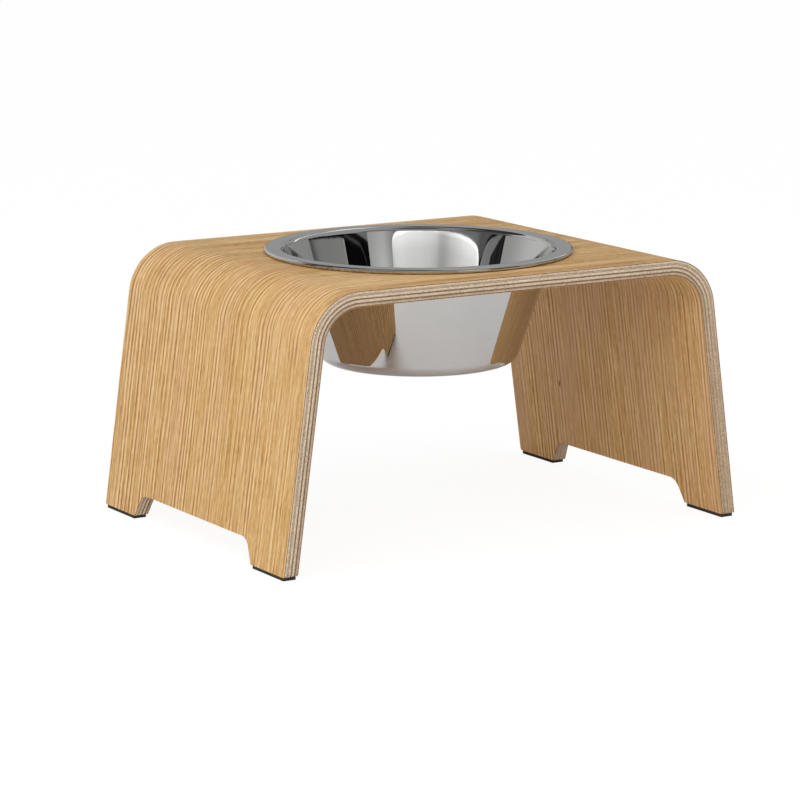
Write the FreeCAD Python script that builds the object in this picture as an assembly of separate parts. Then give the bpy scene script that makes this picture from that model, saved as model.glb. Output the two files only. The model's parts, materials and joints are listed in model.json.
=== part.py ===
import FreeCAD, Part
import math
import os

# Elevated dog feeder: a stand bent from nine glued plies, with a steel bowl that hangs in it by its rim.
# Millimetres. X runs from the left leg to the right leg, -Y is the front, +Z is up.
# The origin is on the floor, under the middle of the stand.

# Stand, measured outside
STAND_WIDTH = 406.0
STAND_DEPTH = 286.0
STAND_HEIGHT = 208.0
LEG_SPLAY = 7.9
BEND_RADIUS = 41.3

# Lay-up of the bent sheet: a face veneer, the core plies and a second face veneer, glued together
FACE_THICKNESS = 0.6
PLY_THICKNESS = 1.45
PLY_COUNT = 7
GLUE_THICKNESS = 0.05

# Arch cut into the lower edge of each leg, which leaves a foot at each end
FOOT_LENGTH = 49.8
FOOT_CORNER_BEVEL = 1.2
ARCH_HEIGHT = 18.0
ARCH_SIDE_ANGLE = 28.0
ARCH_CORNER_RADIUS = 12.0

# Rubber pads and the film that holds them
PAD_THICKNESS = 2.6
PAD_END_MARGIN = 2.0
PAD_SIDE_MARGIN = 0.6
ADHESIVE_THICKNESS = 0.2
ADHESIVE_MARGIN = 0.4

# Bowl: the wall radius is taken outside, at the level of the stand's top face
BOWL_SHEET = 0.8
BOWL_WALL_RADIUS = 105.3
BOWL_WALL_TAPER = 18.5
BOWL_DEPTH = 86.7
BASE_CORNER_RADIUS = 12.0
FLANGE_WIDTH = 14.7
LIP_RADIUS = 4.8
BEAD_DIAMETER = 3.4
ROLL_TURN = 270.0

# Flats that each round of the bowl is drawn with
BASE_FLAT_COUNT = 3
LIP_FLAT_COUNT = 2
BEAD_FLAT_COUNT = 6

# Fits
RIM_SEAT_GAP = 0.3
BOWL_HOLE_CLEARANCE = 3.0

splay = math.radians(LEG_SPLAY)
wall_taper = math.radians(BOWL_WALL_TAPER)
sole_level = PAD_THICKNESS + ADHESIVE_THICKNESS
sheet_thickness = 2 * FACE_THICKNESS + PLY_COUNT * PLY_THICKNESS + (PLY_COUNT + 1) * GLUE_THICKNESS
sole_width = sheet_thickness / math.cos(splay)
# Sheets and cutting shapes run past the edge that trims them by this much
run_out = sheet_thickness
bead_radius = BEAD_DIAMETER / 2
rim_radius = BOWL_WALL_RADIUS + FLANGE_WIDTH
rim_top = STAND_HEIGHT + RIM_SEAT_GAP + BEAD_DIAMETER
flange_underside = rim_top - BOWL_SHEET
bowl_base = STAND_HEIGHT - BOWL_DEPTH
bowl_hole_radius = BOWL_WALL_RADIUS + BOWL_HOLE_CLEARANCE


def point_xz(x, z):
    return FreeCAD.Vector(x, 0, z)


def point_yz(y, z):
    return FreeCAD.Vector(0, y, z)


def line(start, end):
    return Part.LineSegment(start, end).toShape()


def corner_arc(before, corner, after, radius):
    """Arc of this radius that rounds a corner, from the leg towards before to the leg towards after."""
    to_before = (before - corner).normalize()
    to_after = (after - corner).normalize()
    half_angle = to_before.getAngle(to_after) / 2
    inward = (to_before + to_after).normalize()
    setback = radius / math.tan(half_angle)
    depth = radius / math.sin(half_angle) - radius
    return Part.Arc(corner + to_before * setback, corner + inward * depth, corner + to_after * setback)


def rounded_path(corners):
    """Edges along a run of (point, radius) corners. The two ends stay sharp."""
    edges = []
    reached = corners[0][0]
    for (before, _), (corner, radius), (after, _) in zip(corners, corners[1:], corners[2:]):
        if radius > 0:
            arc = corner_arc(before, corner, after, radius)
            edges += [line(reached, arc.StartPoint), arc.toShape()]
            reached = arc.EndPoint
        else:
            edges.append(line(reached, corner))
            reached = corner
    edges.append(line(reached, corners[-1][0]))
    return edges


def rounded_face(corners):
    """Flat face inside a closed run of (point, radius) corners."""
    seam = ((corners[0][0] + corners[-1][0]) * 0.5, 0)
    return Part.Face(Part.Wire(rounded_path([seam] + corners + [seam])))


def bend_line(inset):
    """Corners of the bent sheet's line at this depth below its outer face, from left foot to right foot."""
    level = STAND_HEIGHT - inset
    end = sole_level - run_out
    radius = BEND_RADIUS - inset

    def leg_x(z):
        return STAND_WIDTH / 2 - (z - sole_level) * math.tan(splay) - inset / math.cos(splay)

    return [
        (point_xz(-leg_x(end), end), 0),
        (point_xz(-leg_x(level), level), radius),
        (point_xz(leg_x(level), level), radius),
        (point_xz(leg_x(end), end), 0),
    ]


def side_outline():
    """Outline of the stand seen from a side: straight ends, two feet and the arch between them."""
    end = STAND_DEPTH / 2
    foot = end - FOOT_LENGTH
    arch = foot - ARCH_HEIGHT * math.tan(math.radians(ARCH_SIDE_ANGLE))
    over = STAND_HEIGHT + run_out
    half = [
        (end, over, 0),
        (end, sole_level + FOOT_CORNER_BEVEL, 0),
        (end - FOOT_CORNER_BEVEL, sole_level, 0),
        (foot, sole_level, 0),
        (arch, sole_level + ARCH_HEIGHT, ARCH_CORNER_RADIUS),
    ]
    back = [(point_yz(y, z), radius) for y, z, radius in half]
    front = [(point_yz(-y, z), radius) for y, z, radius in reversed(half)]
    return rounded_face(back + front)


def bent_ply(inset, thickness, trim, hole):
    """One ply: a bent sheet, trimmed to the side outline, with the hole for the bowl."""
    profile = rounded_face(bend_line(inset) + bend_line(inset + thickness)[::-1])
    profile.translate(FreeCAD.Vector(0, -STAND_DEPTH / 2 - run_out, 0))
    sheet = profile.extrude(FreeCAD.Vector(0, STAND_DEPTH + 2 * run_out, 0))
    return sheet.common(trim).cut(hole)


def stand_plies():
    """All plies by name, from the outer face inwards."""
    half_span = STAND_WIDTH / 2 + run_out
    outline = side_outline()
    outline.translate(FreeCAD.Vector(-half_span, 0, 0))
    trim = outline.extrude(FreeCAD.Vector(2 * half_span, 0, 0))
    hole_start = FreeCAD.Vector(0, 0, STAND_HEIGHT - sheet_thickness - run_out)
    hole = Part.makeCylinder(bowl_hole_radius, sheet_thickness + 2 * run_out, hole_start)

    lay_up = [("top_face_veneer", FACE_THICKNESS)]
    lay_up += [(f"core_ply_{number}", PLY_THICKNESS) for number in range(1, PLY_COUNT + 1)]
    lay_up += [("under_face_veneer", FACE_THICKNESS)]

    plies = {}
    inset = 0.0
    for name, thickness in lay_up:
        plies[name] = bent_ply(inset, thickness, trim, hole)
        inset += thickness + GLUE_THICKNESS
    return plies


def foot_block(side, end, margin, low, height):
    """Block under one foot, by a margin inside the pad's edge. Side -1 is left, end -1 is the front."""
    width = sole_width - 2 * (PAD_SIDE_MARGIN + margin)
    length = FOOT_LENGTH - 2 * (PAD_END_MARGIN + margin)
    middle_x = side * (STAND_WIDTH - sole_width) / 2
    middle_y = end * (STAND_DEPTH - FOOT_LENGTH) / 2
    low_corner = FreeCAD.Vector(middle_x - width / 2, middle_y - length / 2, low)
    return Part.makeBox(width, length, height, low_corner)


def foot_pieces():
    """The pad and its adhesive film at each of the four feet."""
    pieces = {}
    for end_name, end in (("front", -1), ("back", 1)):
        for side_name, side in (("left", -1), ("right", 1)):
            place = f"{end_name}_{side_name}"
            pad = foot_block(side, end, 0.0, 0.0, PAD_THICKNESS)
            film = foot_block(side, end, ADHESIVE_MARGIN, PAD_THICKNESS, ADHESIVE_THICKNESS)
            pieces[f"foot_pad_{place}"] = pad
            pieces[f"pad_adhesive_{place}"] = film
    return pieces


def corner_flats(before, corner, after, radius, flats):
    """Points along a round of this radius that is drawn as a run of flats."""
    return corner_arc(before, corner, after, radius).toShape().discretize(flats + 1)


def bowl_line(depth):
    """Points of the bowl's section at this depth inside its outer surface, from the axis to the flange."""

    def wall_x(z):
        return BOWL_WALL_RADIUS + (z - STAND_HEIGHT) * math.tan(wall_taper) - depth / math.cos(wall_taper)

    floor = bowl_base + depth
    flange = flange_underside + depth
    middle = point_xz(0, floor)
    base_corner = point_xz(wall_x(floor), floor)
    lip = point_xz(wall_x(flange), flange)
    rim = point_xz(rim_radius, flange)
    base_round = corner_flats(middle, base_corner, lip, BASE_CORNER_RADIUS - depth, BASE_FLAT_COUNT)
    lip_round = corner_flats(base_corner, lip, rim, LIP_RADIUS - BOWL_SHEET + depth, LIP_FLAT_COUNT)
    return [middle] + base_round + lip_round


def rim_roll():
    """Points of the rolled rim's section, from the underside of the flange round the outside to the top."""
    centre = point_xz(rim_radius - bead_radius, rim_top - bead_radius)
    points = [point_xz(rim_radius - BEAD_DIAMETER, flange_underside)]
    for number in range(BEAD_FLAT_COUNT + 1):
        turn = math.radians(ROLL_TURN) * (1 - number / BEAD_FLAT_COUNT)
        points.append(centre + point_xz(bead_radius * math.sin(turn), bead_radius * math.cos(turn)))
    return points


def feeding_bowl():
    """Sheet bowl turned about its axis: flat base, tapered wall, lip, flange and rolled rim."""
    outline = bowl_line(0.0) + rim_roll() + bowl_line(BOWL_SHEET)[::-1]
    section = Part.Face(Part.makePolygon(outline + outline[:1]))
    return section.revolve(FreeCAD.Vector(0, 0, 0), FreeCAD.Vector(0, 0, 1), 360)


pieces = {**stand_plies(), **foot_pieces(), "feeding_bowl": feeding_bowl()}
os.makedirs("parts", exist_ok=True)
for name, shape in pieces.items():
    solid = shape.Solids[0]
    assert solid.isValid() and len(shape.Solids) == 1, name
    solid.exportStep(os.path.join("parts", f"{name}.step"))
    print(f"{name}: {solid.Volume / 1000:.2f} cm3")
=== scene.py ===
import json
import math

import bmesh
import bpy
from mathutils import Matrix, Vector


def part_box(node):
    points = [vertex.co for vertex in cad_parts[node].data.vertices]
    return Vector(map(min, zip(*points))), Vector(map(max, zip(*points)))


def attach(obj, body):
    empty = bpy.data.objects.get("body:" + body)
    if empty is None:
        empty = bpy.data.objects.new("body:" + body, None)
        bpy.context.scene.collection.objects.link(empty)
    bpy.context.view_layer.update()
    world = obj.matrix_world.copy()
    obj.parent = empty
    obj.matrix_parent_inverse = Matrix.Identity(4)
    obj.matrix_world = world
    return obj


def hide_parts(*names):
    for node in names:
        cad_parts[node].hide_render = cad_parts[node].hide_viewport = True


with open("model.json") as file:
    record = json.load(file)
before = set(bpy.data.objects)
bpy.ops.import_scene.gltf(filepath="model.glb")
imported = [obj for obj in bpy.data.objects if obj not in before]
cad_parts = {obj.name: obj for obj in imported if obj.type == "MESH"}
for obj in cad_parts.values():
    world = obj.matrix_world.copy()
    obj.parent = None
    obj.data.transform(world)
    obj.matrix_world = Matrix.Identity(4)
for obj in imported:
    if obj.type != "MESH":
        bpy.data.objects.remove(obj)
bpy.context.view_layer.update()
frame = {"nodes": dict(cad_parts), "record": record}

# Elevated dog feeder. Metres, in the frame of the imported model.

# Camera, fitted to the photograph
CAMERA_PLACE = Vector((-1.3967, -2.2552, 0.6114))
CAMERA_YAW = math.radians(31.46)
CAMERA_PITCH = math.radians(11.126)
CAMERA_LENS = 155.217
CAMERA_REACH = 100.0
SENSOR_WIDTH = 36.0

# Bent sheet
BEND_CENTRE_X = 0.13856
BEND_CENTRE_Z = 0.1667
BEND_RADIUS = 0.0413
LEG_SPLAY = math.radians(7.9)
BEND_TURN = math.pi / 2 - LEG_SPLAY
FACE_THICKNESS = 0.0006
PLY_THICKNESS = 0.00145
GLUE_THICKNESS = 0.00005
PLY_COUNT = 7
PLY_PITCH = PLY_THICKNESS + GLUE_THICKNESS
FIRST_PLY_DEPTH = FACE_THICKNESS + GLUE_THICKNESS
SHEET_THICKNESS = 2 * FACE_THICKNESS + PLY_COUNT * PLY_THICKNESS + (PLY_COUNT + 1) * GLUE_THICKNESS

# Marks in the wood
GRAIN_DRIFT = 0.008
GRAIN_WAVER = 0.0014
CUT_EDGE_START = 0.00008
CUT_EDGE_END = 0.0002
PLY_EDGE_FUZZ = 0.0004
DARK_PLY_INSET = 0.16 * PLY_PITCH
KNOT_PLACE = (0.2963, 0.0707)
KNOT_HALF_LENGTH = 0.0042
KNOT_HALF_WIDTH = 0.0011

# Bowl
BOWL_SHEET = 0.0008
BOWL_BASE = 0.1213
BOWL_WALL_RADIUS = 0.1053
BOWL_WALL_LEVEL = 0.208
BOWL_TAPER = math.radians(18.5)
BASE_CORNER_RADIUS = 0.012
BASE_CORNER_STEPS = 12
LIP_RADIUS = 0.0048
LIP_STEPS = 10
BEAD_RADIUS = 0.0017
BEAD_STEPS = 24
ROLL_TURN = math.radians(270)
LATHE_STEPS = 256

# Pads
PAD_EDGE = 0.0004
PAD_EDGE_STEPS = 3

# Studio
WORLD_LIGHT = 0.62
FLOOR_SIZE = 60.0
FLOOR_LEVEL = -0.0002
FLOOR_TONE = 0.92
FLOOR_MIRRORED_GLOW = 0.02
FLOOR_WHITE = 1.06
FLOOR_WHITE_SHARE = 0.86
CARD_LOWEST = 0.01
CARD_BLACK = 0.004
DOME_RADIUS = 2.0
DOME_CENTRE = Vector((0, 0, 0.2))
DOME_STEPS = 72
BACK = Vector((-math.sin(CAMERA_YAW), -math.cos(CAMERA_YAW), 0.0))
LEFT = Vector((-math.cos(CAMERA_YAW), math.sin(CAMERA_YAW), 0.0))


# Shader nodes

def linear(red, green, blue):
    """Colour for a shader, from 8-bit screen values."""
    def channel(value):
        value /= 255
        return value / 12.92 if value <= 0.04045 else ((value + 0.055) / 1.055) ** 2.4
    return (channel(red), channel(green), channel(blue), 1.0)


def grey(value):
    return (value, value, value, 1.0)


def add(tree, kind, inputs=None, **settings):
    """New shader node with its settings and inputs. An input is a value or another node's output."""
    node = tree.nodes.new("ShaderNode" + kind)
    for name, value in settings.items():
        setattr(node, name, value)
    for name, value in (inputs or {}).items():
        if isinstance(value, bpy.types.NodeSocket):
            tree.links.new(value, node.inputs[name])
        else:
            node.inputs[name].default_value = value
    return node


def maths(tree, operation, *values, clamp=False):
    inputs = dict(enumerate(values))
    return add(tree, "Math", inputs, operation=operation, use_clamp=clamp).outputs[0]


def vector_maths(tree, operation, *values):
    """Result of a vector operation: a number for a length, otherwise a vector."""
    node = add(tree, "VectorMath", dict(enumerate(values)), operation=operation)
    return node.outputs["Value" if operation == "LENGTH" else "Vector"]


def split(tree, place):
    return add(tree, "SeparateXYZ", {0: place}).outputs


def join(tree, x=0.0, y=0.0, z=0.0):
    return add(tree, "CombineXYZ", {0: x, 1: y, 2: z}).outputs[0]


def mapped(tree, value, start, end, low=0.0, high=1.0):
    """Goes from low to high while the value goes from start to end, and no further."""
    inputs = {"Value": value, "From Min": start, "From Max": end, "To Min": low, "To Max": high}
    return add(tree, "MapRange", inputs).outputs[0]


def blend_colours(tree, factor, first, second, kind="MIX"):
    """Blend of two colours. The numbers are the Mix node's sockets for colours."""
    inputs = {0: factor, 6: first, 7: second}
    return add(tree, "Mix", inputs, data_type="RGBA", blend_type=kind).outputs[2]


def ramp(tree, factor, stops, interpolation="LINEAR"):
    node = add(tree, "ValToRGB", {"Fac": factor})
    band = node.color_ramp
    band.interpolation = interpolation
    while len(band.elements) < len(stops):
        band.elements.new(1.0)
    for element, (place, colour) in zip(band.elements, stops):
        element.position = place
        element.color = colour
    return node.outputs[0]


def noise(tree, place, scale, detail=2.0, shift=0.0):
    """Noise with its own count per metre along each axis."""
    inputs = {"Vector": place, "Scale": scale, "Location": (shift, shift, shift)}
    moved = add(tree, "Mapping", inputs).outputs[0]
    return add(tree, "TexNoise", {"Vector": moved, "Scale": 1.0, "Detail": detail}).outputs["Fac"]


def weighted(tree, base, layers):
    """Base value plus each noise's swing about its middle, times its weight."""
    total = base
    for layer, weight in layers:
        total = maths(tree, "MULTIPLY_ADD", maths(tree, "SUBTRACT", layer, 0.5), weight, total)
    return total


def bumped(tree, height, strength, distance):
    return add(tree, "Bump", {"Strength": strength, "Distance": distance, "Height": height}).outputs[0]


def object_place(tree):
    return add(tree, "TexCoord").outputs["Object"]


def new_material(name):
    material = bpy.data.materials.new(name)
    material.use_nodes = True
    tree = material.node_tree
    tree.nodes.clear()
    return material, tree


def finish_material(tree, shader):
    output = add(tree, "OutputMaterial")
    tree.links.new(shader, output.inputs["Surface"])


def finish_surface(tree, inputs):
    """Ends a material with a Principled shader that has these inputs."""
    finish_material(tree, add(tree, "BsdfPrincipled", inputs).outputs[0])


# Materials

def sheet_space():
    """Node group that unrolls the bent sheet.

    It gives the length along the bend, the place across it and the depth below its outer face.
    """
    group = bpy.data.node_groups.new("sheet_space", "ShaderNodeTree")
    group.interface.new_socket("Unrolled", in_out="OUTPUT", socket_type="NodeSocketVector")
    x, across, z = split(group, object_place(group))
    right = maths(group, "SUBTRACT", maths(group, "ABSOLUTE", x), BEND_CENTRE_X)
    up = maths(group, "SUBTRACT", z, BEND_CENTRE_Z)
    turn = maths(group, "ARCTAN2", right, up)
    turn = maths(group, "MINIMUM", maths(group, "MAXIMUM", turn, 0.0), BEND_TURN)
    sine, cosine = maths(group, "SINE", turn), maths(group, "COSINE", turn)
    height = maths(group, "ADD", maths(group, "MULTIPLY", up, cosine), maths(group, "MULTIPLY", right, sine))
    run = maths(group, "SUBTRACT", maths(group, "MULTIPLY", right, cosine), maths(group, "MULTIPLY", up, sine))
    run = maths(group, "ADD", maths(group, "MULTIPLY_ADD", turn, BEND_RADIUS, run), BEND_CENTRE_X)
    along = maths(group, "MULTIPLY", run, maths(group, "SIGN", x))
    depth = maths(group, "SUBTRACT", BEND_RADIUS, height)
    output = group.nodes.new("NodeGroupOutput")
    group.links.new(join(group, along, across, depth), output.inputs[0])
    return group


SHEET_SPACE = sheet_space()


def unrolled_place(tree):
    node = tree.nodes.new("ShaderNodeGroup")
    node.node_tree = SHEET_SPACE
    return node.outputs[0]


def grain_lines(tree, place, count, wander, shift):
    """Dark lines along the grain, so many to the metre, that come and go about a middle of nought."""
    sharpness, middle = 1.6, 0.42
    across = split(tree, place)["Y"]
    stretch = noise(tree, place, (1.3, count / 7, 0.0), 1.0, shift)
    sway = maths(tree, "MULTIPLY", stretch, wander)
    phase = maths(tree, "MULTIPLY_ADD", across, 2 * math.pi * count, sway)
    wave = maths(tree, "MULTIPLY_ADD", maths(tree, "SINE", phase), 0.5, 0.5)
    wave = maths(tree, "SUBTRACT", maths(tree, "POWER", wave, sharpness), middle)
    fade = noise(tree, place, (15.0, count / 3, 0.0), 1.0, shift + 5.0)
    fade = mapped(tree, fade, 0.24, 0.60)
    broken = noise(tree, place, (62.0, count * 1.3, 0.0), 1.0, shift + 9.0)
    broken = mapped(tree, broken, 0.32, 0.60, 0.25, 1.3)
    return maths(tree, "MULTIPLY", wave, maths(tree, "MULTIPLY", fade, broken))


def knot_mark(tree, place, middle):
    """One within a small knot that lies along the grain, and nought from its edge on."""
    offset = vector_maths(tree, "SUBTRACT", place, (*middle, 0.0))
    scaled = vector_maths(tree, "MULTIPLY", offset, (1 / KNOT_HALF_LENGTH, 1 / KNOT_HALF_WIDTH, 0.0))
    return mapped(tree, vector_maths(tree, "LENGTH", scaled), 1.0, 0.4)


def oak(name, shift, line_sets, blush_range, edge_start, edge_end, knots=()):
    """Straight-grained oak veneer under a satin lacquer, its grain along the bend and a duller cut edge.

    The line sets are (lines to the metre, wander, depth of tone). They are fainter on the flat top.
    The blush range is how far its colour goes to a pinker one, from the least to the most.
    The cut edge starts and ends at these depths below the sheet's outer face.
    The knots are (length along the bend, place across it).
    """
    material, tree = new_material(name)
    flat = unrolled_place(tree)
    drift = noise(tree, flat, (4.0, 8.0, 0.0), 1.0, shift)
    waver = noise(tree, flat, (9.0, 30.0, 0.0), 1.0, shift + 3.0)
    offset = weighted(tree, 0.0, ((drift, GRAIN_DRIFT), (waver, GRAIN_WAVER)))
    place = vector_maths(tree, "ADD", flat, join(tree, y=offset))
    along, _, depth = split(tree, place)
    bands = noise(tree, place, (1.6, 55.0, 0.0), 2.0, shift)
    streaks = noise(tree, place, (12.0, 270.0, 0.0), 1.0, shift + 7.0)
    fibres = noise(tree, place, (36.0, 800.0, 0.0), 2.0, shift + 13.0)
    flecks = noise(tree, place, (170.0, 520.0, 0.0), 1.0, shift + 19.0)
    pores = noise(tree, place, (60.0, 1900.0, 0.0), 1.0, shift + 29.0)
    patches = noise(tree, place, (4.0, 30.0, 0.0), 2.0, shift + 37.0)
    zones = noise(tree, place, (1.6, 34.0, 0.0), 1.0, shift + 43.0)
    from_middle = maths(tree, "ABSOLUTE", along)
    on_leg = mapped(tree, from_middle, 0.10, 0.15, 0.65, 1.0)
    broad = mapped(tree, from_middle, 0.10, 0.16, 1.7, 0.28)
    tone = weighted(tree, 0.56, ((streaks, 0.70), (fibres, 0.95), (flecks, 0.55), (bands, broad)))
    marked = maths(tree, "MULTIPLY", mapped(tree, zones, 0.36, 0.62, 0.62, 1.16), on_leg)
    for count, wander, tone_depth in line_sets:
        lines = maths(tree, "MULTIPLY", grain_lines(tree, place, count, wander, shift + count), marked)
        tone = maths(tree, "SUBTRACT", tone, maths(tree, "MULTIPLY", lines, tone_depth))
    colour = ramp(tree, tone, (
        (0.0, linear(166, 115, 57)),
        (0.34, linear(195, 149, 88)),
        (0.64, linear(215, 175, 118)),
        (1.0, linear(236, 204, 155)),
    ))
    blush = mapped(tree, patches, 0.40, 0.68, *blush_range)
    colour = blend_colours(tree, blush, colour, linear(214, 172, 134))
    pore = ramp(tree, pores, ((0.30, grey(0.70)), (0.42, grey(1.0))))
    colour = blend_colours(tree, 1.0, colour, pore, "MULTIPLY")
    for middle in knots:
        colour = blend_colours(tree, knot_mark(tree, flat, middle), colour, linear(72, 50, 32))
    cut = mapped(tree, depth, edge_start, edge_end)
    colour = blend_colours(tree, cut, colour, linear(116, 88, 63))
    height = weighted(tree, 0.5, ((pores, 0.6), (fibres, 0.5), (streaks, 0.3)))
    finish_surface(tree, {
        "Base Color": colour,
        "Roughness": weighted(tree, 0.52, ((fibres, 0.20), (bands, 0.10))),
        "Normal": bumped(tree, height, 0.35, 0.00012),
        "Specular IOR Level": 0.08,
    })
    return material


def beech(name, fibre_scale, shift):
    """Sanded edges of the core plies: one tone to each ply, with soft dark glue lines between them."""
    material, tree = new_material(name)
    place = unrolled_place(tree)
    fibre = noise(tree, place, fibre_scale, 2.0, shift)
    fuzz = noise(tree, place, (420.0, 420.0, 900.0), 2.0, shift + 3.0)
    blotch = noise(tree, place, (45.0, 45.0, 200.0), 2.0, shift + 5.0)
    speckle = noise(tree, place, (820.0, 820.0, 1100.0), 1.0, shift + 9.0)
    along, _, depth = split(tree, place)
    depth = weighted(tree, depth, ((fuzz, PLY_EDGE_FUZZ),))
    tones = (
        linear(209, 187, 162), linear(178, 154, 128), linear(214, 193, 168), linear(128, 102, 78),
        linear(209, 187, 161), linear(126, 100, 76), linear(186, 162, 136),
    )
    # The darkest plies show narrower than the others
    dark = (3, 5)
    stops = []
    for number, tone in enumerate(tones):
        start = FIRST_PLY_DEPTH + number * PLY_PITCH
        if number in dark:
            start += DARK_PLY_INSET
        elif number - 1 in dark:
            start -= DARK_PLY_INSET
        stops.append((start / SHEET_THICKNESS, tone))
    colour = ramp(tree, maths(tree, "DIVIDE", depth, SHEET_THICKNESS), stops, "CONSTANT")
    # The tones lie closer together on the right leg
    evened = mapped(tree, along, 0.15, 0.25, 0.0, 0.72)
    colour = blend_colours(tree, evened, colour, linear(180, 154, 124))
    inside = maths(tree, "DIVIDE", maths(tree, "SUBTRACT", depth, FIRST_PLY_DEPTH), PLY_PITCH)
    inside = maths(tree, "FRACT", inside)
    from_edge = maths(tree, "MINIMUM", inside, maths(tree, "SUBTRACT", 1.0, inside))
    line = ramp(tree, from_edge, ((0.02, grey(0.80)), (0.16, grey(1.0))))
    colour = blend_colours(tree, 1.0, colour, line, "MULTIPLY")
    shade = weighted(tree, 1.0, ((fibre, 0.5), (blotch, 0.35), (speckle, 1.3)))
    colour = add(tree, "HueSaturation", {"Value": shade, "Color": colour}).outputs[0]
    finish_surface(tree, {
        "Base Color": colour,
        "Roughness": weighted(tree, 0.62, ((fibre, 0.2),)),
        "Normal": bumped(tree, fibre, 0.4, 0.0001),
        "Specular IOR Level": 0.25,
    })
    return material


def polished_steel():
    """Bright drawn steel with faint rings left by the polishing wheel."""
    material, tree = new_material("polished_steel")
    place = object_place(tree)
    x, y, z = split(tree, place)
    radius = vector_maths(tree, "LENGTH", join(tree, x, y))
    rings = noise(tree, join(tree, radius, z), (1500.0, 1500.0, 0.0), 2.0)
    smears = noise(tree, place, (35.0, 35.0, 35.0), 3.0)
    tint = weighted(tree, 0.5, ((rings, 0.4), (smears, 0.5)))
    finish_surface(tree, {
        "Base Color": ramp(tree, tint, ((0.2, (0.555, 0.553, 0.548, 1.0)), (0.8, (0.625, 0.622, 0.615, 1.0)))),
        "Metallic": 1.0,
        "Roughness": weighted(tree, 0.022, ((rings, 0.012), (smears, 0.016))),
        "Normal": bumped(tree, rings, 0.01, 0.00001),
    })
    return material


def rubber():
    """Matt black rubber, finely pitted and a little dusty."""
    material, tree = new_material("rubber")
    place = object_place(tree)
    grains = noise(tree, place, (1800.0, 1800.0, 1800.0), 2.0)
    dust = noise(tree, place, (90.0, 90.0, 90.0), 3.0)
    tone = weighted(tree, 0.5, ((grains, 0.3), (dust, 0.7)))
    finish_surface(tree, {
        "Base Color": ramp(tree, tone, ((0.3, linear(34, 34, 36)), (0.8, linear(58, 57, 57)))),
        "Roughness": weighted(tree, 0.72, ((dust, 0.25),)),
        "Normal": bumped(tree, grains, 0.5, 0.0001),
        "Specular IOR Level": 0.35,
    })
    return material


def adhesive():
    """Grey acrylic film, with the streaks of its coating."""
    material, tree = new_material("adhesive")
    streaks = noise(tree, object_place(tree), (900.0, 40.0, 40.0), 2.0)
    finish_surface(tree, {
        "Base Color": ramp(tree, streaks, ((0.3, linear(84, 82, 79)), (0.7, linear(104, 102, 98)))),
        "Roughness": weighted(tree, 0.5, ((streaks, 0.3),)),
    })
    return material


# Shapes

def rounded_corner(before, corner, after, radius, steps):
    """Points along a round, each with its direction from the arc's centre."""
    to_before = (before - corner).normalized()
    to_after = (after - corner).normalized()
    half = to_before.angle(to_after) / 2
    centre = corner + (to_before + to_after).normalized() * (radius / math.sin(half))
    start = (corner + to_before * radius / math.tan(half) - centre).normalized()
    end = (corner + to_after * radius / math.tan(half) - centre).normalized()
    run = []
    for number in range(steps + 1):
        direction = start.slerp(end, number / steps)
        run.append((centre + direction * radius, direction))
    return run


def bowl_section():
    """Section of the bowl as (radius, height) points with their normals.

    It runs from the axis along the outside to the rolled rim, and along the inside back to the axis.
    """
    low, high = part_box("feeding_bowl")
    rim_radius = (high[0] - low[0]) / 2
    rim_top = high[2]
    slope = math.tan(BOWL_TAPER)
    down = Vector((0.0, -1.0))

    def side(depth, sign):
        """Points from the axis to the flange, at this depth inside the outer surface."""
        floor = BOWL_BASE + depth
        flange = rim_top - BOWL_SHEET + depth
        inset = depth / math.cos(BOWL_TAPER)
        middle = Vector((0.0, floor))
        base = Vector((BOWL_WALL_RADIUS + (floor - BOWL_WALL_LEVEL) * slope - inset, floor))
        lip = Vector((BOWL_WALL_RADIUS + (flange - BOWL_WALL_LEVEL) * slope - inset, flange))
        rim = Vector((rim_radius, flange))
        base_round = rounded_corner(middle, base, lip, BASE_CORNER_RADIUS - depth, BASE_CORNER_STEPS)
        lip_round = rounded_corner(base, lip, rim, LIP_RADIUS - BOWL_SHEET + depth, LIP_STEPS)
        points = [(middle, down * sign)]
        points += [(place, normal * sign) for place, normal in base_round]
        points += [(place, normal * -sign) for place, normal in lip_round]
        return points

    centre = Vector((rim_radius - BEAD_RADIUS, rim_top - BEAD_RADIUS))
    points = side(0.0, 1.0)
    points.append((Vector((rim_radius - 2 * BEAD_RADIUS, rim_top - BOWL_SHEET)), down))
    for number in range(BEAD_STEPS + 1):
        turn = ROLL_TURN * (1 - number / BEAD_STEPS)
        normal = Vector((math.sin(turn), math.cos(turn)))
        points.append((centre + normal * BEAD_RADIUS, normal))
    return points + side(BOWL_SHEET, -1.0)[::-1]


def lathe(name, section, steps):
    """Mesh turned from a section about Z. Its first and last points are on the axis."""
    (first, first_normal), *rows, (last, last_normal) = section
    verts = [(0.0, 0.0, first.y)]
    normals = [(0.0, 0.0, first_normal.y)]
    for place, normal in rows:
        for step in range(steps):
            turn = 2 * math.pi * step / steps
            verts.append((place.x * math.cos(turn), place.x * math.sin(turn), place.y))
            normals.append((normal.x * math.cos(turn), normal.x * math.sin(turn), normal.y))
    end = len(verts)
    verts.append((0.0, 0.0, last.y))
    normals.append((0.0, 0.0, last_normal.y))
    last_row = end - steps
    faces = []
    for step in range(steps):
        after = (step + 1) % steps
        faces.append((0, 1 + after, 1 + step))
        for row in range(len(rows) - 1):
            here, above = 1 + row * steps, 1 + (row + 1) * steps
            faces.append((here + step, here + after, above + after, above + step))
        faces.append((last_row + step, last_row + after, end))
    mesh = bpy.data.meshes.new(name)
    mesh.from_pydata(verts, [], faces)
    mesh.shade_smooth()
    mesh.normals_split_custom_set_from_vertices(normals)
    return mesh


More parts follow.
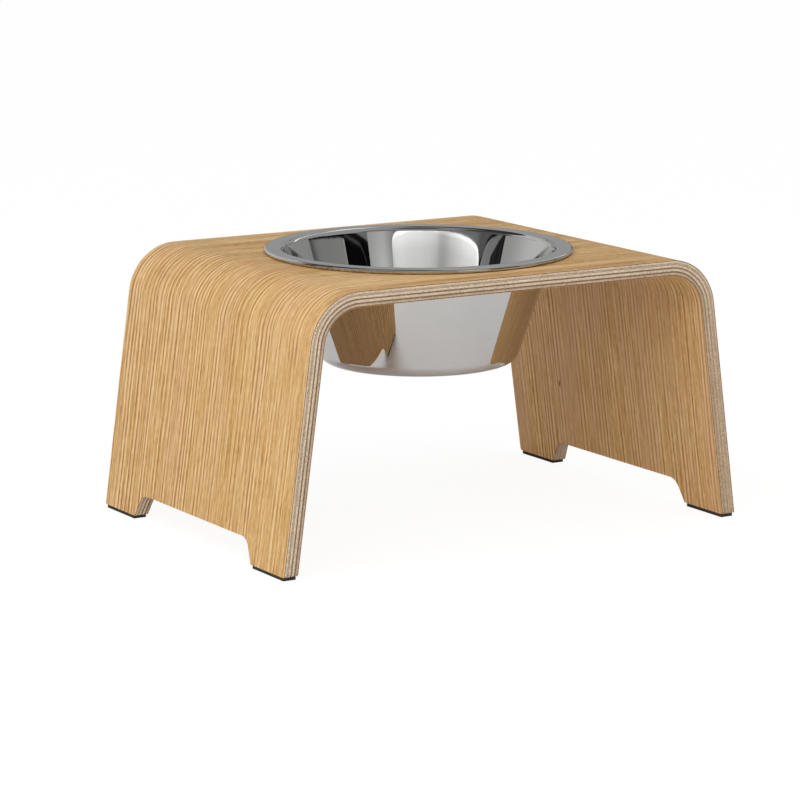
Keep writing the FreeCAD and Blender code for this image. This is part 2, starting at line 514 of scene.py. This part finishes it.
def pad_mesh(name, low, high):
    """Block with eased edges."""
    shape = bmesh.new()
    bmesh.ops.create_cube(shape, size=1.0)
    middle = (Vector(low) + Vector(high)) / 2
    size = Vector(high) - Vector(low)
    for vert in shape.verts:
        vert.co = middle + Vector(a * b for a, b in zip(vert.co, size))
    bmesh.ops.bevel(
        shape, geom=shape.edges[:], offset=PAD_EDGE, segments=PAD_EDGE_STEPS, profile=0.5, affect="EDGES",
    )
    mesh = bpy.data.meshes.new(name)
    shape.to_mesh(mesh)
    shape.free()
    return mesh


def add_object(name, data):
    thing = bpy.data.objects.new(name, data)
    bpy.context.scene.collection.objects.link(thing)
    return thing


def new_piece(name, mesh, material, body, node):
    """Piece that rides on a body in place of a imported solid."""
    piece = add_object(name, mesh)
    mesh.materials.append(material)
    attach(piece, body)
    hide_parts(node)


def dress(node, look):
    """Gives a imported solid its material."""
    slots = frame["nodes"][node].data.materials
    slots.clear()
    slots.append(look)


# Floor, light and camera

def seen_directly(tree):
    """One for camera, glossy and transmission rays."""
    path = add(tree, "LightPath").outputs
    total = maths(tree, "ADD", path["Is Camera Ray"], path["Is Glossy Ray"])
    return maths(tree, "ADD", total, path["Is Transmission Ray"], clamp=True)


def make_world():
    world = bpy.data.worlds.new("studio")
    bpy.context.scene.world = world
    world.use_nodes = True
    tree = world.node_tree
    tree.nodes.clear()
    colour = blend_colours(tree, seen_directly(tree), grey(WORLD_LIGHT), grey(1.0))
    shader = add(tree, "Background", {"Color": colour, "Strength": 1.0})
    output = add(tree, "OutputWorld")
    tree.links.new(shader.outputs[0], output.inputs["Surface"])


def make_floor():
    """Pale floor that is seen from above only, so that the underside of the object can be looked at."""
    material, tree = new_material("floor")
    path = add(tree, "LightPath").outputs
    matt = add(tree, "BsdfDiffuse", {"Color": grey(FLOOR_TONE)}).outputs[0]
    mirrored = maths(tree, "MULTIPLY", path["Is Glossy Ray"], FLOOR_MIRRORED_GLOW)
    glow = add(tree, "Emission", {"Color": grey(1.0), "Strength": mirrored}).outputs[0]
    lit = add(tree, "AddShader", {0: matt, 1: glow}).outputs[0]
    white = add(tree, "Emission", {"Color": grey(1.0), "Strength": FLOOR_WHITE}).outputs[0]
    share = maths(tree, "MULTIPLY", path["Is Camera Ray"], FLOOR_WHITE_SHARE)
    top = add(tree, "MixShader", {0: share, 1: lit, 2: white}).outputs[0]
    below = add(tree, "NewGeometry").outputs["Backfacing"]
    clear = add(tree, "BsdfTransparent").outputs[0]
    finish_material(tree, add(tree, "MixShader", {0: below, 1: top, 2: clear}).outputs[0])
    bpy.ops.mesh.primitive_plane_add(size=FLOOR_SIZE, location=(0, 0, FLOOR_LEVEL))
    floor = bpy.context.object
    floor.name = "floor"
    floor.data.materials.append(material)


def direction(azimuth, elevation):
    """Way from the object into the studio, in degrees. Azimuth 0 is towards the camera, 90 to its left."""
    a, e = math.radians(azimuth), math.radians(elevation)
    return (BACK * math.cos(a) + LEFT * math.sin(a)) * math.cos(e) + Vector((0, 0, math.sin(e)))


def make_lamp(name, azimuth, elevation, distance, width, height, energy):
    """Soft lamp that lights the object but doesn't show in it."""
    data = bpy.data.lights.new(name, "AREA")
    data.shape = "RECTANGLE"
    data.size, data.size_y = width, height
    data.energy = energy
    lamp = add_object(name, data)
    place = direction(azimuth, elevation)
    lamp.location = place * distance
    lamp.rotation_mode = "QUATERNION"
    lamp.rotation_quaternion = place.to_track_quat("Z", "Y")
    lamp.visible_glossy = False
    lamp.visible_camera = False


def card_look():
    """Each point of a card glows as brightly as its own value says."""
    material, tree = new_material("card")
    glow = add(tree, "Attribute", attribute_name="glow").outputs["Fac"]
    finish_material(tree, add(tree, "Emission", {"Color": grey(1.0), "Strength": glow}).outputs[0])
    return material


CARD_LOOK = card_look()


def show_in_reflections(name, verts, strengths, faces):
    """Glowing sheet that only shows in reflections."""
    mesh = bpy.data.meshes.new(name)
    mesh.from_pydata(verts, [], faces)
    glow = mesh.attributes.new("glow", "FLOAT", "POINT")
    glow.data.foreach_set("value", strengths)
    mesh.materials.append(CARD_LOOK)
    piece = add_object(name, mesh)
    piece.visible_camera = False
    piece.visible_diffuse = False
    piece.visible_shadow = False
    piece.visible_transmission = False


def card(name, distance, edge, rows):
    """Card that stands round the object, in front of those at a greater distance.

    The edge runs along its top: (azimuth, height, brightness). Rows go down from there: (drop, strength).
    """
    verts, strengths, faces = [], [], []
    for azimuth, height, brightness in edge:
        foot = direction(azimuth, 0.0) * distance
        for drop, strength in rows:
            verts.append(foot + Vector((0, 0, max(CARD_LOWEST, height - drop))))
            strengths.append(strength * brightness)
    count = len(rows)
    for number in range(len(edge) - 1):
        for row in range(count - 1):
            here = number * count + row
            faces.append((here, here + count, here + count + 1, here + 1))
    show_in_reflections(name, verts, strengths, faces)


def make_cards():
    down_to_floor = ((0.0, 1.0), (1.2, 1.0))
    card("card_softbox", 0.90, (
        (-26.5, 0.722, 0.78), (-25.4, 0.732, 0.9), (-24, 0.738, 1.05), (-22, 0.743, 1.1), (-17, 0.750, 1.12),
        (-8, 0.760, 1.05), (2, 0.762, 1.0), (12, 0.759, 0.90), (18, 0.752, 0.78), (22, 0.747, 0.60),
        (25, 0.742, 0.56), (29, 0.735, 0.62), (33, 0.727, 0.75), (40, 0.712, 0.90), (46.6, 0.694, 1.05),
        (53, 0.674, 1.13), (57, 0.659, 1.12), (60.5, 0.644, 1.12), (62.3, 0.633, 1.15), (63.7, 0.620, 1.15),
        (64.6, 0.605, 1.1), (65, 0.585, 1.1),
    ), (
        (0.0, 1.9), (0.004, 1.8), (0.006, 1.25), (0.012, 1.22), (0.026, 1.0), (0.044, 0.92), (0.10, 0.88),
        (0.16, 0.22), (0.75, 0.22),
    ))
    # Dark frame on the left, with a grey band across it
    card("card_left_frame", 0.90, (
        (65, 0.612, CARD_BLACK), (67, 0.614, CARD_BLACK), (70.2, 0.622, CARD_BLACK), (73.4, 0.617, CARD_BLACK),
        (78, 0.604, CARD_BLACK), (82.2, 0.592, CARD_BLACK), (89.5, 0.568, CARD_BLACK),
    ), down_to_floor)
    card("card_left_band", 0.89, (
        (66.4, 0.600, 0.32), (67.4, 0.607, 0.31), (68.6, 0.611, 0.30), (70.2, 0.613, 0.29), (73.4, 0.608, 0.27),
        (78, 0.595, 0.26), (82.2, 0.583, 0.24), (88.8, 0.559, 0.22),
    ), down_to_floor)
    card("card_left_flag", 0.88, (
        (76.4, 0.555, 0.02), (76.9, 0.572, 0.02), (80.9, 0.569, 0.03), (83.6, 0.567, 0.015),
        (86.2, 0.563, 0.03), (89.5, 0.554, 0.01),
    ), down_to_floor)
    card("card_left", 0.90, (
        (89.5, 0.556, 0.43), (96, 0.560, 0.45), (100, 0.62, 0.48), (106, 0.80, 0.54), (112, 0.93, 0.60),
        (118, 0.93, 0.67), (126, 0.93, 0.70), (142, 0.93, 0.70), (165, 0.93, 0.5),
    ), down_to_floor)
    # Dark frame on the right, with a grey panel and a faint band in it
    card("card_right_frame", 0.90, (
        (-118, 0.445, CARD_BLACK), (-109.7, 0.483, CARD_BLACK), (-103.8, 0.504, CARD_BLACK),
        (-97.9, 0.526, CARD_BLACK), (-92, 0.551, CARD_BLACK), (-85.9, 0.576, CARD_BLACK),
        (-79.9, 0.602, CARD_BLACK), (-73.6, 0.622, CARD_BLACK), (-64.8, 0.648, CARD_BLACK),
        (-58, 0.663, CARD_BLACK), (-51, 0.675, CARD_BLACK),
    ), down_to_floor)
    card("card_right_panel", 0.89, (
        (-118.5, 0.424, 0.26), (-117, 0.430, 0.13), (-115, 0.440, 0.13), (-112.5, 0.451, 0.20),
        (-109.7, 0.463, 0.26), (-103.8, 0.489, 0.29), (-97.9, 0.514, 0.29), (-92, 0.538, 0.295),
        (-85.9, 0.562, 0.30), (-79.9, 0.585, 0.31), (-77, 0.594, 0.31),
    ), down_to_floor)
    card("card_right_line", 0.89, ((-77, 0.594, 0.42), (-75.8, 0.598, 0.42)), down_to_floor)
    card("card_right_band", 0.89, (
        (-75, 0.608, 0.05), (-69, 0.624, 0.07), (-63.7, 0.637, 0.08), (-59.5, 0.646, 0.06), (-57, 0.644, 0.05),
        (-55, 0.637, 0.06), (-54, 0.620, 0.08),
    ), ((0.0, 0.3), (0.002, 1.0), (0.004, 1.0), (0.006, 0.3)))
    card("card_right", 0.91, (
        (-51, 0.90, 0.50), (-47, 0.90, 0.57), (-40, 0.90, 0.70), (-37, 0.90, 0.76), (-34, 0.90, 0.74),
        (-31, 0.90, 0.64), (-27.5, 0.90, 0.52), (-25, 0.90, 0.50),
    ), ((0.0, 0.6), (0.17, 0.8), (0.23, 1.0), (0.9, 1.0)))
    card("card_right_back", 0.90, (
        (-170, 0.215, 0.02), (-163, 0.235, 0.03), (-158, 0.26, 0.30), (-152, 0.285, 0.35),
        (-140.7, 0.331, 0.37), (-133.7, 0.363, 0.37), (-129.5, 0.383, 0.37), (-124.3, 0.405, 0.37),
        (-118.3, 0.434, 0.36),
    ), down_to_floor)
    # What the bowl's walls mirror of each other at the two ends
    card("card_right_over", 0.905, (
        (-166, 0.36, 0.02), (-160, 0.385, 0.26), (-147, 0.445, 0.30), (-140.7, 0.475, 0.30), (-129.5, 0.53, 0.30),
        (-118.3, 0.58, 0.26), (-109, 0.625, 0.14), (-98, 0.675, 0.12),
    ), ((0.0, 1.0), (0.17, 1.0)))
    card("card_left_over", 0.895, (
        (136, 0.470, 0.46), (133.5, 0.480, 0.46), (122.4, 0.540, 0.48), (107, 0.610, 0.46), (98, 0.650, 0.42),
    ), ((0.0, 1.0), (0.113, 1.0)))
    # White strip that lights the lip, and what the flange mirrors
    card("card_strip", 0.89, (
        (-178, 0.88, 1.3), (-172, 1.12, 1.7), (-160, 1.20, 1.7), (-154, 0.98, 1.7), (-148, 0.72, 1.7),
        (-143, 0.57, 1.7),
    ), ((0.0, 1.0), (0.14, 1.0), (0.18, 0.4)))
    card("card_behind", 0.90, ((165, 0.58, 1.0), (195, 0.58, 1.0)), (
        (0.0, 0.12), (0.04, 0.365), (0.30, 0.365), (0.33, 0.03), (0.6, 0.03),
    ))


def make_dome():
    """Dome of card round the object, in four sectors: front, left, back left and right.

    A sector is (azimuth that it starts at, brightness at each elevation).
    """
    elevations = (-6, 38, 40, 46, 60, 71, 74, 80, 83, 90)
    sectors = (
        (-58, (0.22, 0.22, 0.22, 0.22, 0.38, 0.38, 0.03, 0.02, 0.02, 0.02)),
        (58, (0.13, 0.13, 0.13, 0.10, 0.05, 0.26, 0.28, 0.30, 0.02, 0.02)),
        (100, (0.50, 0.50, 0.06, 0.05, 0.05, 0.34, 0.34, 0.34, 0.02, 0.02)),
        (183, (0.43, 0.43, 0.43, 0.43, 0.43, 0.43, 0.43, 0.36, 0.02, 0.02)),
    )
    first_azimuth = sectors[0][0]
    verts, strengths, faces = [], [], []
    for ring, elevation in enumerate(elevations):
        for step in range(DOME_STEPS):
            azimuth = 360 * step / DOME_STEPS + first_azimuth
            verts.append(direction(azimuth, elevation) * DOME_RADIUS + DOME_CENTRE)
            strengths.append([levels[ring] for start, levels in sectors if start <= azimuth][-1])
    for ring in range(len(elevations) - 1):
        here, above = ring * DOME_STEPS, (ring + 1) * DOME_STEPS
        for step in range(DOME_STEPS):
            after = (step + 1) % DOME_STEPS
            faces.append((here + step, here + after, above + after, above + step))
    show_in_reflections("card_dome", verts, strengths, faces)


def make_camera():
    data = bpy.data.cameras.new("camera")
    data.lens = CAMERA_LENS
    data.sensor_width = SENSOR_WIDTH
    data.clip_end = CAMERA_REACH
    camera = add_object("camera", data)
    camera.location = CAMERA_PLACE
    look = Vector((
        math.sin(CAMERA_YAW) * math.cos(CAMERA_PITCH),
        math.cos(CAMERA_YAW) * math.cos(CAMERA_PITCH),
        -math.sin(CAMERA_PITCH),
    ))
    camera.rotation_mode = "QUATERNION"
    camera.rotation_quaternion = look.to_track_quat("-Z", "Y")
    bpy.context.scene.camera = camera


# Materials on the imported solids
LOOKS = {
    "beech_long_grain": beech("beech_long_grain", (60.0, 60.0, 2600.0), 0.0),
    "beech_cross_grain": beech("beech_cross_grain", (1500.0, 60.0, 1500.0), 11.0),
    "adhesive": adhesive(),
}
for row in frame["record"]["subparts"]:
    if row["material_slot"] in LOOKS:
        dress(row["node"], LOOKS[row["material_slot"]])
dress("top_face_veneer", oak(
    "oak_outside",
    shift=0.0,
    line_sets=(
        (98.0, 8.0, 0.06), (148.0, 10.0, 0.32), (190.0, 12.0, 0.68), (228.0, 15.0, 0.36), (300.0, 18.0, 0.32),
    ),
    blush_range=(0.0, 0.22),
    edge_start=CUT_EDGE_START,
    edge_end=CUT_EDGE_END,
))
dress("under_face_veneer", oak(
    "oak_inside",
    shift=40.0,
    line_sets=((160.0, 12.0, 0.46), (196.0, 12.0, 0.74), (238.0, 15.0, 0.84)),
    blush_range=(0.12, 0.66),
    edge_start=SHEET_THICKNESS - CUT_EDGE_START,
    edge_end=SHEET_THICKNESS - CUT_EDGE_END,
    knots=(KNOT_PLACE,),
))

# New pieces
bowl_mesh = lathe("bowl_turned", bowl_section(), LATHE_STEPS)
new_piece("bowl_turned", bowl_mesh, polished_steel(), "bowl", "feeding_bowl")
black = rubber()
for node in [name for name in frame["nodes"] if name.startswith("foot_pad_")]:
    name = node.replace("foot_pad", "eased_pad")
    new_piece(name, pad_mesh(name, *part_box(node)), black, "stand", node)

# Studio
make_world()
make_floor()
make_lamp("softbox", azimuth=24.0, elevation=41.0, distance=1.4, width=1.7, height=0.9, energy=8.8)
make_lamp("fill", azimuth=-80.0, elevation=14.0, distance=1.6, width=1.2, height=0.8, energy=2.8)
make_cards()
make_dome()
make_camera()
bpy.context.scene.view_settings.view_transform = "Standard"
